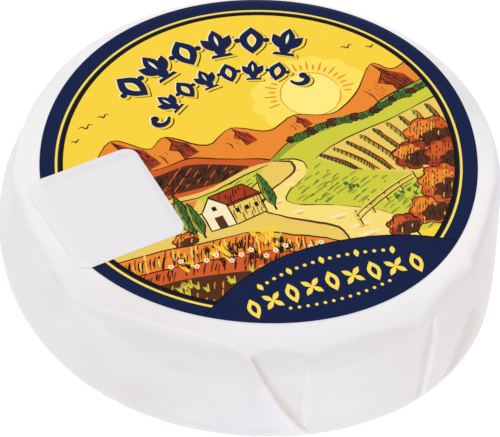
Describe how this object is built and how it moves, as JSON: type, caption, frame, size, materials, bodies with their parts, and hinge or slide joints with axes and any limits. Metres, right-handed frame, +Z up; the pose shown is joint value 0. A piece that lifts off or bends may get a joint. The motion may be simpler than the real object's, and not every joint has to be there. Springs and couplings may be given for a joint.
{
  "type": "wrapped camembert cheese",
  "caption": "Small camembert wheel folded into white paper, with a round printed label on top and a blank square sticker lapping over the label's edge.",
  "frame": {"origin": "middle of the bounding box at the surface that the wheel lies on", "axes": "+Z up through the label, -Y towards the shown tuck of the paper, +X to its right"},
  "size_m": [0.082, 0.0824, 0.0255],
  "materials": {
    "wrap_paper": "smooth white coated paper with a satin sheen",
    "label_paper": "glossy printed paper, mostly yellow inside a navy border",
    "sticker_paper": "plain white satin sticker"
  },
  "bodies": {
    "root": {"wrapped_cheese": "wrap_paper", "round_label": "label_paper", "square_sticker": "sticker_paper"}
  },
  "joints": []
}
